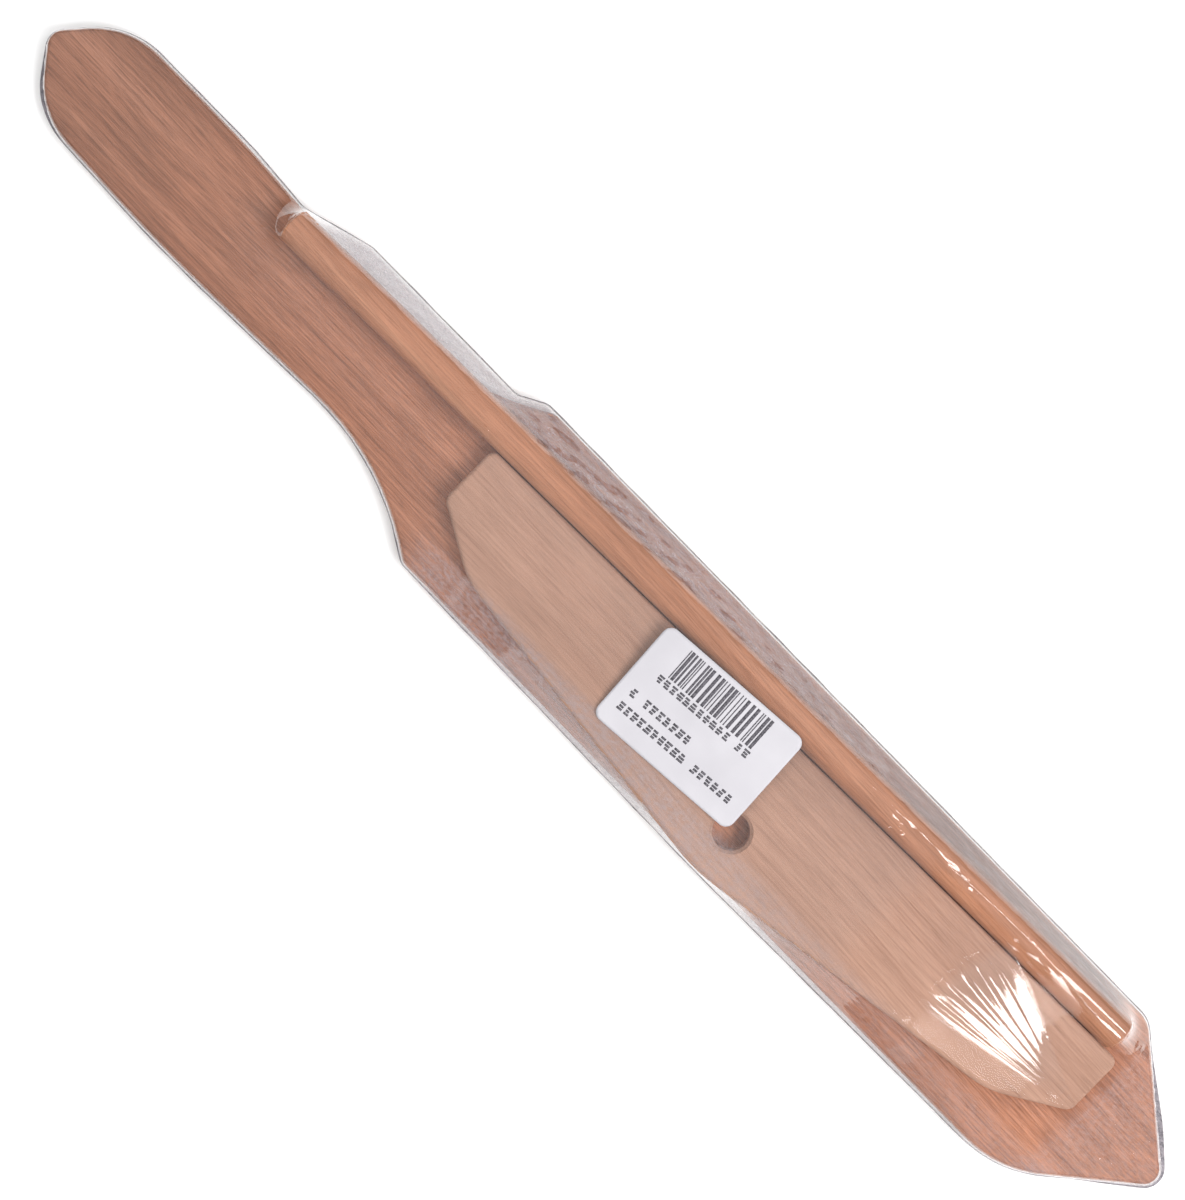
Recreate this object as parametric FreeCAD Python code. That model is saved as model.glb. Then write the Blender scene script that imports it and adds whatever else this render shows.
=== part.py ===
import FreeCAD, Part
import math
import os
from FreeCAD import Vector

# A wooden crepe set in a clear wrap: a long paddle spatula, with a spreader blade and its round
# handle lying side by side on top of it, inside a film made of a top and a bottom sheet that are
# welded together along their edge.  Lengths are in mm and angles in degrees.  +X points from the
# grip to the tip of the spatula, +Y to the side where the round handle lies, and +Z up.

# ---- spatula ----
spatula_length = 358.0
spatula_thickness = 5.0
spatula_edge_radius = 1.6       # rounding of the long edges, top and bottom
blade_width = 47.8
blade_length = 218.0            # from the tip back to the shoulders
tip_half_angle = 39.2           # between the centre line and each side of the point
tip_radius = 3.5
tip_corner_radius = 28.0        # where the side of the blade turns in to the point, at -Y
handle_corner_radius = 7.0      # the same at +Y, where the handle lies
tip_drop = 1.8                  # how far the top face curves down by the very tip
tip_drop_length = 26.0
shoulder_radius = 3.0
flare_angle = 31.0              # between the neck and the slope up to a shoulder
flare_radius = 65.0
neck_width = 22.7
grip_width = 30.0
grip_swell_from_end = 50.0      # where the grip is widest
grip_swell_radius = 400.0
grip_corner_width = 28.4
grip_corner_radius = 20.0
grip_end_half_angle = 50.0
grip_end_radius = 3.8
grip_lean = 0.019               # sideways lean of the grip, mm per mm, as cut from the board

# ---- spreader handle, a dowel ----
handle_diameter = 8.4
handle_length = 256.6
handle_chamfer = 0.6
handle_before_corner = 4.4      # its tip end, before where the side of the spatula turns in
handle_edge_inset = 6.95        # from the side of the spatula's blade in to the axis, at the tip end
handle_tilt = 1.25              # in the plane of the spatula, the grip end leaning inwards

# ---- spreader blade, a thin arched board with a hole for the handle ----
board_length = 194.0
board_thickness = 5.0
board_height = 35.5             # straight edge to the top of the arch
board_end_height = 15.3         # short straight end faces
board_corner_height = 25.0      # where the sloped arch begins
board_corner_inset = 16.5       # from an end to that point
board_end_radius = 3.0
board_corner_radius = 22.0
board_crown_radius = 45.0
board_foot_radius = 2.0
board_edge_radius = 1.1
board_before_corner = 0.3       # its tip end, before where the side of the spatula turns in
board_handle_gap = 0.25         # between the straight edge and the dowel beside it
socket_from_crown = 11.8        # from the top of the arch down to the centre of the hole
socket_clearance = 0.1          # on the diameter, so that the handle pushes in
socket_chamfer = 0.7

# ---- film ----
film_thickness = 0.25
film_gap = 0.25                 # kept between the film and the wood that it covers
film_weld_width = 0.6           # the flat edge where the two sheets are joined
film_weld_gap = 0.05            # between the two sheets at that edge
film_bridge_lead = 3.0          # how far before the dowel's end the film leaves the grip's edge
film_bridge_end_gap = 0.6       # from the side of the dowel out to the film, at the dowel's end
film_bridge_stand_off = 4.8     # the same, where the film has risen to run along the neck
film_bridge_rise = 14.5         # from the dowel's end to where the film has risen
film_bridge_end = 9.0           # before the shoulder, where it turns out to the blade
film_shoulder_lead = 2.6        # before the shoulder, where it is out beside the blade
film_bridge_radius = 4.0
film_ramp_grip = 15.0           # length of the slope up to the dowel's end
film_ramp_board = 9.0           # length of the slope up to the board's end
film_ramp_tip = 12.0            # length of the slope down to the point

# ---- price label ----
label_length = 39.5
label_width = 26.2
label_thickness = 0.2
label_corner_radius = 2.2
label_tilt = 4.6
label_tip_setback = 145.85      # from the spatula's tip back to the label's centre
label_centre_y = -2.2

# ---- clearances ----
stack_gap = 0.2                 # under the board and the dowel, where they lie on the spatula

# ---- levels and places that follow ----
tip_x = spatula_length / 2
end_x = -spatula_length / 2
shoulder_x = tip_x - blade_length
half_blade = blade_width / 2
tip_angle = math.radians(tip_half_angle)
apex_x = tip_x + tip_radius * (1 / math.sin(tip_angle) - 1)
blade_corner_x = apex_x - half_blade / math.tan(tip_angle)

spatula_bottom_z = film_thickness
spatula_top_z = spatula_bottom_z + spatula_thickness
seam_z = spatula_bottom_z + spatula_thickness / 2
stack_z = spatula_top_z + stack_gap
board_top_z = stack_z + board_thickness
handle_axis_z = stack_z + handle_diameter / 2

handle_near_x = blade_corner_x - handle_before_corner
handle_near_y = half_blade - handle_edge_inset
handle_far_x = handle_near_x - handle_length * math.cos(math.radians(handle_tilt))
board_middle_x = blade_corner_x - board_before_corner - board_length / 2
above_all_z = handle_axis_z + handle_diameter
beyond = spatula_length


def handle_axis_y(x):
    """Where the dowel's axis lies at a place along the spatula."""
    return handle_near_y - (handle_near_x - x) * math.tan(math.radians(handle_tilt))


def board_edge_y(x):
    """Where the board's straight edge lies, side by side with the dowel."""
    beside = handle_diameter / 2 + board_handle_gap
    return handle_axis_y(x) - beside / math.cos(math.radians(handle_tilt))


def rounded_outline(corners):
    """A closed flat wire with a tangent arc at each corner, given as (x, y, radius)."""
    arcs = []
    for index, (x, y, radius) in enumerate(corners):
        here = Vector(x, y, 0)
        before = Vector(*corners[index - 1][:2], 0)
        after = Vector(*corners[(index + 1) % len(corners)][:2], 0)
        to_before = (before - here).normalize()
        to_after = (after - here).normalize()
        half_angle = to_before.getAngle(to_after) / 2
        reach = radius / math.tan(half_angle)
        inward = (to_before + to_after).normalize()
        middle = here + inward * (radius / math.sin(half_angle) - radius)
        arcs.append((here + to_before * reach, middle, here + to_after * reach))
    edges = []
    for index, (start, middle, end) in enumerate(arcs):
        next_start = arcs[(index + 1) % len(arcs)][0]
        edges.append(Part.Arc(start, middle, end).toShape())
        edges.append(Part.LineSegment(end, next_start).toShape())
    return Part.Wire(edges)


def moved_out(corners, distance):
    """The same corners with every side moved outwards, for an anticlockwise outline."""
    moved = []
    for index, (x, y, radius) in enumerate(corners):
        here = Vector(x, y, 0)
        before = Vector(*corners[index - 1][:2], 0)
        after = Vector(*corners[(index + 1) % len(corners)][:2], 0)
        side_in = (here - before).normalize()
        side_out = (after - here).normalize()
        normal_in = Vector(side_in.y, -side_in.x, 0)
        normal_out = Vector(side_out.y, -side_out.x, 0)
        shift = (normal_in + normal_out) * (distance / (1 + normal_in.dot(normal_out)))
        convex = side_in.cross(side_out).z > 0
        moved.append((x + shift.x, y + shift.y, radius + distance if convex else radius - distance))
    return moved


def prism(corners, bottom, top):
    """A flat plate of this outline between two levels."""
    face = Part.Face(rounded_outline(corners))
    face.translate(Vector(0, 0, bottom))
    return face.extrude(Vector(0, 0, top - bottom))


def leaning(corners):
    """Corners with everything behind the shoulders leaning sideways with the grip."""
    return [(x, y + grip_lean * max(0.0, shoulder_x - x), radius) for x, y, radius in corners]


def spatula_side():
    """The corners of one side of the spatula, from the tip to the grip's end, as half widths."""
    end_angle = math.radians(grip_end_half_angle)
    end_apex_x = end_x - grip_end_radius * (1 / math.sin(end_angle) - 1)
    flare_run = (blade_width - neck_width) / 2 / math.tan(math.radians(flare_angle))
    grip_corner_x = end_apex_x + grip_corner_width / 2 / math.tan(end_angle)
    return {
        "apex": (apex_x, 0.0, tip_radius),
        "tip_corner": (blade_corner_x, half_blade, tip_corner_radius),
        "handle_corner": (blade_corner_x, half_blade, handle_corner_radius),
        "shoulder": (shoulder_x, half_blade, shoulder_radius),
        "neck": (shoulder_x - flare_run, neck_width / 2, flare_radius),
        "swell": (end_x + grip_swell_from_end, grip_width / 2, grip_swell_radius),
        "grip_corner": (grip_corner_x, grip_corner_width / 2, grip_corner_radius),
        "end_apex": (end_apex_x, 0.0, grip_end_radius),
    }


def mirrored(corner):
    """The same corner on the -Y side."""
    x, y, radius = corner
    return (x, -y, radius)


def spatula_corners():
    """The spatula's outline, anticlockwise from the tip."""
    side = spatula_side()
    between = ["shoulder", "neck", "swell", "grip_corner"]
    upper = [side[name] for name in ["handle_corner", *between]]
    lower = [mirrored(side[name]) for name in [*reversed(between), "tip_corner"]]
    return leaning([side["apex"], *upper, side["end_apex"], *lower])


def film_corners():
    """The film's outline before its gap.

    It follows the spatula, but bridges the neck beside the dowel and goes round the board's crown.
    """
    side = spatula_side()
    swell_x, swell_y, _ = leaning([side["swell"]])[0]
    neck_x, neck_y, _ = leaning([side["neck"]])[0]
    grip_slope = (neck_y - swell_y) / (neck_x - swell_x)
    handle_side_y = handle_axis_y(handle_far_x) + handle_diameter / 2
    bridge_y = handle_side_y + film_bridge_stand_off
    lead_x = handle_far_x - film_bridge_lead
    lead_y = swell_y + grip_slope * (lead_x - swell_x)
    grip = leaning([side["grip_corner"], side["end_apex"]])
    grip += leaning([mirrored(side[name]) for name in ("grip_corner", "swell", "neck")])
    crown = board_point(0.0, board_height)
    crown_y = min(crown.y, -half_blade - film_gap)
    return [
        side["apex"],
        side["handle_corner"],
        (shoulder_x - film_shoulder_lead, half_blade, shoulder_radius),
        (shoulder_x - film_bridge_end, bridge_y, film_bridge_radius),
        (handle_far_x + film_bridge_rise, bridge_y, film_bridge_radius),
        (handle_far_x, handle_side_y + film_bridge_end_gap, film_bridge_radius),
        (lead_x, lead_y, film_bridge_radius),
        (swell_x, swell_y, film_bridge_radius),
        *grip,
        mirrored(side["shoulder"]),
        (crown.x, crown_y, board_crown_radius),
        mirrored(side["tip_corner"]),
    ]


def board_placement():
    """Where the board lies: its straight edge beside the dowel and its arch towards -Y."""
    return FreeCAD.Placement(
        Vector(board_middle_x, board_edge_y(board_middle_x), stack_z),
        FreeCAD.Rotation(Vector(0, 0, 1), handle_tilt),
    )


def board_point(along, height):
    """A point of the board's plan, from the middle of its straight edge."""
    return board_placement().multVec(Vector(along, -height, 0))


def spatula():
    """The paddle, with rounded edges and a top face that curves down towards the point."""
    body = prism(spatula_corners(), spatula_bottom_z, spatula_top_z)
    bend_x = tip_x - tip_drop_length
    bend_radius = (tip_drop_length**2 + tip_drop**2) / (2 * tip_drop)
    keep_radius = Part.makeCylinder(
        bend_radius,
        2 * beyond,
        Vector(bend_x, -beyond, spatula_top_z - bend_radius),
        Vector(0, 1, 0),
    )
    tip_block = Part.makeBox(beyond, 2 * beyond, above_all_z, Vector(bend_x, -beyond, 0))
    body = body.cut(tip_block.cut(keep_radius))
    middle_z = spatula_bottom_z + spatula_thickness / 2
    rims = [
        edge
        for edge in body.Edges
        if abs(edge.CenterOfMass.z - middle_z) > spatula_edge_radius / 2 and not runs_across(edge)
    ]
    return body.makeFillet(min(spatula_edge_radius, (spatula_thickness - tip_drop) / 2), rims)


def runs_across(edge):
    """Whether an edge lies straight across the width, where the top face starts to curve."""
    box = edge.BoundBox
    return box.XLength < film_gap and box.YLength > half_blade


def spreader_blade():
    """The arched board with its chamfered hole."""
    half = board_length / 2
    corner = half - board_corner_inset
    corners = [
        (-half, 0.0, board_foot_radius),
        (-half, -board_end_height, board_end_radius),
        (-corner, -board_corner_height, board_corner_radius),
        (0.0, -board_height, board_crown_radius),
        (corner, -board_corner_height, board_corner_radius),
        (half, -board_end_height, board_end_radius),
        (half, 0.0, board_foot_radius),
    ]
    body = prism(corners, 0.0, board_thickness)
    rims = [edge for edge in body.Edges if edge.BoundBox.ZLength < film_gap]
    body = body.makeFillet(board_edge_radius, rims)
    radius = (handle_diameter + socket_clearance) / 2
    centre = Vector(0, socket_from_crown - board_height, 0)
    body = body.cut(Part.makeCylinder(radius, board_thickness, centre))
    for level, start, end in (
        (0.0, radius + socket_chamfer, radius),
        (board_thickness - socket_chamfer, radius, radius + socket_chamfer),
    ):
        body = body.cut(Part.makeCone(start, end, socket_chamfer, centre + Vector(0, 0, level)))
    body.Placement = board_placement()
    return body


def spreader_handle():
    """The dowel, with chamfered ends."""
    body = Part.makeCylinder(handle_diameter / 2, handle_length)
    body = body.makeChamfer(handle_chamfer, [body.Edges[0], body.Edges[2]])
    turn = FreeCAD.Rotation(Vector(0, 0, 1), 180 + handle_tilt)
    body.Placement = FreeCAD.Placement(
        Vector(handle_near_x, handle_near_y, handle_axis_z),
        turn.multiply(FreeCAD.Rotation(Vector(0, 1, 0), 90)),
    )
    return body


def width_at(outline, x):
    """The lowest and highest Y of a flat outline at a place along X."""
    ruler = Part.makeLine(Vector(x, -beyond, 0), Vector(x, beyond, 0))
    box = Part.Face(outline).common(ruler).BoundBox
    return box.YMin, box.YMax


def under_roof(offset):
    """Everything under the stretched top sheet, which stands this far off the wood.

    The sheet runs from the board's arch up to the dowel and down to the edge of the spatula.
    Each cross-section has the same points, so that straight lines join them.
    """
    outline = rounded_outline(moved_out(film_corners(), offset))
    low_z = spatula_top_z + offset
    ring = handle_diameter / 2 + offset
    octagon = ring * math.tan(math.radians(22.5))
    arch_slope = (board_height - board_corner_height) / (board_length / 2 - board_corner_inset)
    board_start_x = board_middle_x - board_length / 2 - offset
    covered_end_x = max(board_middle_x + board_length / 2, handle_near_x) + offset

    def section(x, over_handle, over_board):
        """One cross-section; the flags say what stands up there."""
        edge_low, edge_high = width_at(outline, min(max(x, end_x), tip_x))
        axis_y = handle_axis_y(x)
        ridge_z = handle_axis_z + ring if over_handle else low_z
        side_z = handle_axis_z + octagon if over_handle else low_z
        if over_board:
            reach = board_height - arch_slope * abs(x - board_middle_x)
            arch_y = max(board_edge_y(x) - reach - offset, edge_low)
            arch_z = board_top_z + offset
        else:
            arch_y = (edge_low + axis_y - octagon) / 2
            arch_z = (low_z + ridge_z) / 2
        points = [
            (-beyond, -above_all_z),
            (-beyond, low_z),
            (min(edge_low, arch_y - film_gap), low_z),
            (arch_y, arch_z),
            (axis_y - octagon, ridge_z),
            (axis_y + octagon, ridge_z),
            (axis_y + ring, side_z),
            (max(edge_high, axis_y + ring + film_gap), low_z),
            (beyond, low_z),
            (beyond, -above_all_z),
        ]
        vectors = [Vector(x, y, z) for y, z in points]
        return Part.makePolygon(vectors + vectors[:1])

    sections = [
        section(-beyond, False, False),
        section(handle_far_x - film_ramp_grip, False, False),
        section(handle_far_x - offset, True, False),
        section(board_start_x - film_ramp_board, True, False),
        section(board_start_x, True, True),
        section(board_middle_x, True, True),
        section(covered_end_x, True, True),
        section(covered_end_x + film_ramp_tip, False, False),
        section(beyond, False, False),
    ]
    return Part.makeLoft(sections, True, True)


def film_plan(offset):
    """The corners of the film's outline at a distance from what it covers."""
    return moved_out(film_corners(), offset)


def weld_edge(bottom):
    """The flat edge of one sheet, from the side wall outwards."""
    top = bottom + film_thickness
    outer = prism(film_plan(film_gap + film_thickness + film_weld_width), bottom, top)
    return outer.cut(prism(film_plan(film_gap), bottom, top))


def film_top():
    """The top sheet, a thin shell from the weld over everything."""
    bottom = seam_z + film_weld_gap / 2
    outer = prism(film_plan(film_gap + film_thickness), bottom, above_all_z)
    outer = outer.common(under_roof(film_gap + film_thickness))
    inner = prism(film_plan(film_gap), bottom, above_all_z).common(under_roof(film_gap))
    return outer.cut(inner).fuse(weld_edge(bottom)).removeSplitter()


def film_bottom():
    """The bottom sheet, a shallow tray under the spatula up to the weld."""
    top = seam_z - film_weld_gap / 2
    outer = prism(film_plan(film_gap + film_thickness), 0.0, top)
    inner = prism(film_plan(film_gap), film_thickness, top)
    return outer.cut(inner).fuse(weld_edge(top - film_thickness)).removeSplitter()


def price_label():
    """The sticker, which lies on the stretched top sheet and takes its slope."""
    half_length = label_length / 2
    half_width = label_width / 2
    corners = [
        (half_length, half_width, label_corner_radius),
        (-half_length, half_width, label_corner_radius),
        (-half_length, -half_width, label_corner_radius),
        (half_length, -half_width, label_corner_radius),
    ]
    stamp = prism(corners, 0.0, above_all_z)
    stamp.Placement = FreeCAD.Placement(
        Vector(tip_x - label_tip_setback, label_centre_y, 0),
        FreeCAD.Rotation(Vector(0, 0, 1), label_tilt),
    )
    film_face = film_gap + film_thickness
    return stamp.common(under_roof(film_face + label_thickness)).cut(under_roof(film_face))


def main():
    """Builds every piece, sets the origin at the bottom centre, and writes the files."""
    os.makedirs("parts", exist_ok=True)
    pieces = {
        "spatula": spatula(),
        "spreader_blade": spreader_blade(),
        "spreader_handle": spreader_handle(),
        "film_top": film_top(),
        "film_bottom": film_bottom(),
        "price_label": price_label(),
    }
    plan = Part.Face(rounded_outline(film_plan(film_gap + film_thickness + film_weld_width)))
    box = plan.optimalBoundingBox(False)
    for name, shape in pieces.items():
        solid = shape.Solids[0]
        solid.translate(Vector(-box.Center.x, -box.Center.y, 0))
        solid.exportStep(f"parts/{name}.step")
        print(name, "solids:", len(shape.Solids), "valid:", solid.isValid())


main()
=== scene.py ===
import math

import bpy
import numpy as np
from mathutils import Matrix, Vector, geometry
from mathutils.bvhtree import BVHTree


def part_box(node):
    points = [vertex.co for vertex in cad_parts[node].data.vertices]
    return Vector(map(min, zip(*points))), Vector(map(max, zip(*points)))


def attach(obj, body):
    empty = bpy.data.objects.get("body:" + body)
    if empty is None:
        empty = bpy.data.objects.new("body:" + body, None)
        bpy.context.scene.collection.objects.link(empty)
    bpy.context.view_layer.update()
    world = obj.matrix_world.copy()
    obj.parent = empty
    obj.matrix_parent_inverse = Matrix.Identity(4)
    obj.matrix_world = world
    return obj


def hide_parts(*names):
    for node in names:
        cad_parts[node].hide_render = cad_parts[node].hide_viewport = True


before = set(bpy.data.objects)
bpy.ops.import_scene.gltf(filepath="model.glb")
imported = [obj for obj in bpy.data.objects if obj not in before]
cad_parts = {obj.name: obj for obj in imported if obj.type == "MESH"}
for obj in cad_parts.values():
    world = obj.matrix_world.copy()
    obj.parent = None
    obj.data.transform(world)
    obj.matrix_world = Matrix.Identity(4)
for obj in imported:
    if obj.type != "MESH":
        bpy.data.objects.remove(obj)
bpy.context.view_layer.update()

# Lengths are in metres.  +X runs from the grip to the tip, +Y to the side of the round handle, +Z up.
MM = 0.001

# ---- places taken from the frame ----
wood_low, wood_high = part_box("spatula")
board_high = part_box("spreader_blade")[1]
handle_low, handle_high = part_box("spreader_handle")
label_low, label_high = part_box("price_label")
TIP_X = wood_high.x
BLADE_AXIS_Y = (wood_low.y + wood_high.y) / 2
SEAM_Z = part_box("film_bottom")[1].z
WOOD_TOP_Z = wood_high.z
HANDLE_RADIUS = (handle_high.z - handle_low.z) / 2
HANDLE_TILT = math.atan2(
    handle_high.y - handle_low.y - 2 * HANDLE_RADIUS, handle_high.x - handle_low.x
)

NOISE_WAVES = 14


# ---- camera, lights and floor ----
CAMERA_HEIGHT = 0.395          # above the spatula's face
FOCAL_LENGTH = 52.9            # mm, on a 36 mm long side
VIEW_ROLL = 45.66              # degrees, from the view's right down to +X
# The camera's offset from the middle along X, and from the blade's axis along Y.
VIEW_OFFSET = (-3.2 * MM, 0.71 * MM)
KEY_POWER = 9.2                # watts, as for the other lamps
FILL_POWER = 2.0
GRIP_FILL_POWER = 2.8
GLARE_POWER = 1.15
LINE_POWER = 2.2
STRIP_POWER = 0.3
WORLD_STRENGTH = 0.66
HORIZON = (0.12, (0.22, 0.22, 0.23, 1.0))     # height of a direction, and what is seen there
ZENITH = (0.62, (1.0, 1.0, 1.0, 1.0))
GLARE_LAMP = (0.550, -0.205, 1.0)             # mirrored by the pleats near the tip
GLARE_LAMP_SIZE = (0.21, 0.12)
GLARE_TARGET = (0.133, 0.0, 0.01)
LINE_LAMP = (0.46, 0.56, 1.0)                 # mirrored as a line along the round handle
LINE_LAMP_SIZE = (0.24, 0.28)
LINE_TARGET = (0.12, 0.017, 0.013)
LOW_STRIP = (0.15, -1.2, 0.42)                # mirrored along the rim on the blade's side
LOW_STRIP_SIZE = (1.6, 0.10)
FLOOR_HALF = 3.0
FLOOR_DROP = 0.2 * MM


def make_camera():
    """The camera looks straight down, turned so that the tip is at the lower right."""
    data = bpy.data.cameras.new("camera")
    data.lens = FOCAL_LENGTH
    data.sensor_width = 36.0
    data.clip_start = 0.01
    data.clip_end = 20.0
    camera = bpy.data.objects.new("camera", data)
    camera.location = (
        VIEW_OFFSET[0],
        BLADE_AXIS_Y + VIEW_OFFSET[1],
        WOOD_TOP_Z + CAMERA_HEIGHT,
    )
    camera.rotation_euler = (0.0, 0.0, math.radians(VIEW_ROLL))
    bpy.context.scene.collection.objects.link(camera)
    bpy.context.scene.camera = camera


def area_light(name, location, target, size, power):
    """A rectangular lamp at a place, facing a target."""
    data = bpy.data.lights.new(name, "AREA")
    data.shape = "RECTANGLE"
    data.size, data.size_y = size
    data.energy = power
    lamp = bpy.data.objects.new(name, data)
    lamp.location = location
    facing = Vector(target) - Vector(location)
    lamp.rotation_euler = facing.to_track_quat("-Z", "Y").to_euler()
    bpy.context.scene.collection.objects.link(lamp)
    return lamp


def make_lights():
    """A key box past the tip and three fills, and the small lamps that the film mirrors.

    The boxes are hidden from reflections, so that the clear film doesn't veil the wood.
    """
    middle = (0.0, 0.0, 0.0)
    boxes = (
        ("key", (0.78, 0.10, 0.80), (0.5, 0.5), KEY_POWER),
        ("fill_handle_side", (-0.10, 1.10, 0.75), (0.7, 0.5), FILL_POWER),
        ("fill_blade_side", (-0.05, -1.10, 0.75), (0.7, 0.5), FILL_POWER),
        ("fill_grip_side", (-0.80, 0.0, 0.80), (0.6, 0.6), GRIP_FILL_POWER),
    )
    for name, place, size, power in boxes:
        box = area_light("softbox_" + name, place, middle, size, power)
        box.visible_glossy = False
    area_light("glare_lamp", GLARE_LAMP, GLARE_TARGET, GLARE_LAMP_SIZE, GLARE_POWER)
    area_light("line_lamp", LINE_LAMP, LINE_TARGET, LINE_LAMP_SIZE, LINE_POWER)
    area_light("low_strip", LOW_STRIP, middle, LOW_STRIP_SIZE, STRIP_POWER)
    world = bpy.data.worlds.new("studio")
    world.use_nodes = True
    tree = world.node_tree
    background = tree.nodes["Background"]
    background.inputs["Strength"].default_value = WORLD_STRENGTH
    heading = tree.nodes.new("ShaderNodeTexCoord")
    split = tree.nodes.new("ShaderNodeSeparateXYZ")
    ramp = tree.nodes.new("ShaderNodeValToRGB")
    tree.links.new(heading.outputs["Generated"], split.inputs[0])
    tree.links.new(split.outputs["Z"], ramp.inputs["Fac"])
    tree.links.new(ramp.outputs["Color"], background.inputs["Color"])
    for element, (height, colour) in zip(ramp.color_ramp.elements, (HORIZON, ZENITH)):
        element.position = height
        element.color = colour
    bpy.context.scene.world = world
    bpy.context.scene.view_settings.view_transform = "Standard"


# ---- materials ----
WHITE = (1.0, 1.0, 1.0)
STREAK_TONES = [(0.30, (0.55, 0.50, 0.46)), (0.52, WHITE), (0.75, (1.22, 1.2, 1.18))]
THREAD_TONES = [(0.38, (0.62, 0.57, 0.53)), (0.5, WHITE), (0.64, (1.14, 1.14, 1.14))]
MOTTLE_TONES = [(0.35, (0.90, 0.89, 0.88)), (0.65, (1.08, 1.07, 1.06))]
GRAIN_DRIFT = 6.0 * MM
WOOD_BUMP = 0.05 * MM
PAINTED_LIGHT_FROM, PAINTED_LIGHT_TO = -0.17, -0.035            # along X, where painted light makes the colour lighter towards the tip
FILM_IOR = 1.5
FILM_BUMP = 0.25 * MM
FILM_ROUGHNESS = 0.045
MIRROR_BOOST = 1.8                            # for the sheet's two faces
CLEAR_TINT = (0.985, 0.98, 0.985, 1.0)
# The grey of the weld, also used as painted shade over the loose band beside the handle.
WELD_AND_PAINTED_SHADE_TINT = (0.33, 0.32, 0.35, 1.0)
# The milky veil's colour: haze in the film, and on the blade's side a painted reflection.
MILKY_VEIL_COLOUR = (0.47, 0.43, 0.46, 1.0)


class Shader:
    """One material's node tree, built with short calls."""

    def __init__(self, name):
        self.material = bpy.data.materials.new(name)
        self.material.use_nodes = True
        self.tree = self.material.node_tree
        self.tree.nodes.clear()

    def add(self, kind, inputs, **settings):
        """Adds a node; an input is a plain value or another node's output socket."""
        node = self.tree.nodes.new(kind)
        for key, value in settings.items():
            setattr(node, key, value)
        for key, value in inputs.items():
            if isinstance(value, bpy.types.NodeSocket):
                self.tree.links.new(value, node.inputs[key])
            else:
                node.inputs[key].default_value = value
        return node

    def place(self):
        """The position on the object, in metres."""
        return self.add("ShaderNodeTexCoord", {}).outputs["Object"]

    def scaled(self, vector, scale, turn=0.0):
        """A position turned about Z and scaled."""
        turned = self.add(
            "ShaderNodeMapping", {"Vector": vector, "Rotation": (0.0, 0.0, turn)}
        )
        node = self.add(
            "ShaderNodeMapping", {"Vector": turned.outputs["Vector"], "Scale": scale}
        )
        return node.outputs["Vector"]

    def noise(self, vector, detail=2.0, roughness=0.5):
        """Smooth noise from 0 to 1."""
        node = self.add(
            "ShaderNodeTexNoise",
            {
                "Vector": vector,
                "Scale": 1.0,
                "Detail": detail,
                "Roughness": roughness,
            },
        )
        return node.outputs["Fac"]

    def ramp(self, value, stops):
        """A colour for each value, from (position, colour) stops."""
        node = self.add("ShaderNodeValToRGB", {"Fac": value})
        elements = node.color_ramp.elements
        while len(elements) < len(stops):
            elements.new(0.5)
        for element, (position, colour) in zip(elements, stops):
            element.position = position
            element.color = (*colour, 1.0)
        return node.outputs["Color"]

    def level(self, value, low, high, out_low=0.0, out_high=1.0):
        """Maps a value from one range to another, held at the ends."""
        node = self.add(
            "ShaderNodeMapRange",
            {
                "Value": value,
                "From Min": low,
                "From Max": high,
                "To Min": out_low,
                "To Max": out_high,
            },
        )
        return node.outputs["Result"]

    def maths(self, operation, first, second):
        """One operation on two numbers."""
        return self.add("ShaderNodeMath", {0: first, 1: second}, operation=operation).outputs[0]

    def mixed(self, factor, first, second, blend="MIX"):
        """A mix of two colours."""
        node = self.add(
            "ShaderNodeMix",
            {"Factor": factor, "A": first, "B": second},
            data_type="RGBA",
            blend_type=blend,
        )
        return node.outputs["Result"]

    def held(self, name):
        """A number that the mesh holds at each point."""
        return self.add("ShaderNodeAttribute", {}, attribute_name=name).outputs["Fac"]

    def backfacing(self):
        """1 where the surface is seen from behind, else 0."""
        return self.add("ShaderNodeNewGeometry", {}).outputs["Backfacing"]

    def bump(self, height, distance, strength=1.0):
        """A surface normal from a height."""
        node = self.add(
            "ShaderNodeBump", {"Height": height, "Distance": distance, "Strength": strength}
        )
        return node.outputs["Normal"]

    def finish(self, shader):
        """Ends the tree in this shader and returns the material."""
        self.add("ShaderNodeOutputMaterial", {"Surface": shader})
        return self.material


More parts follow.
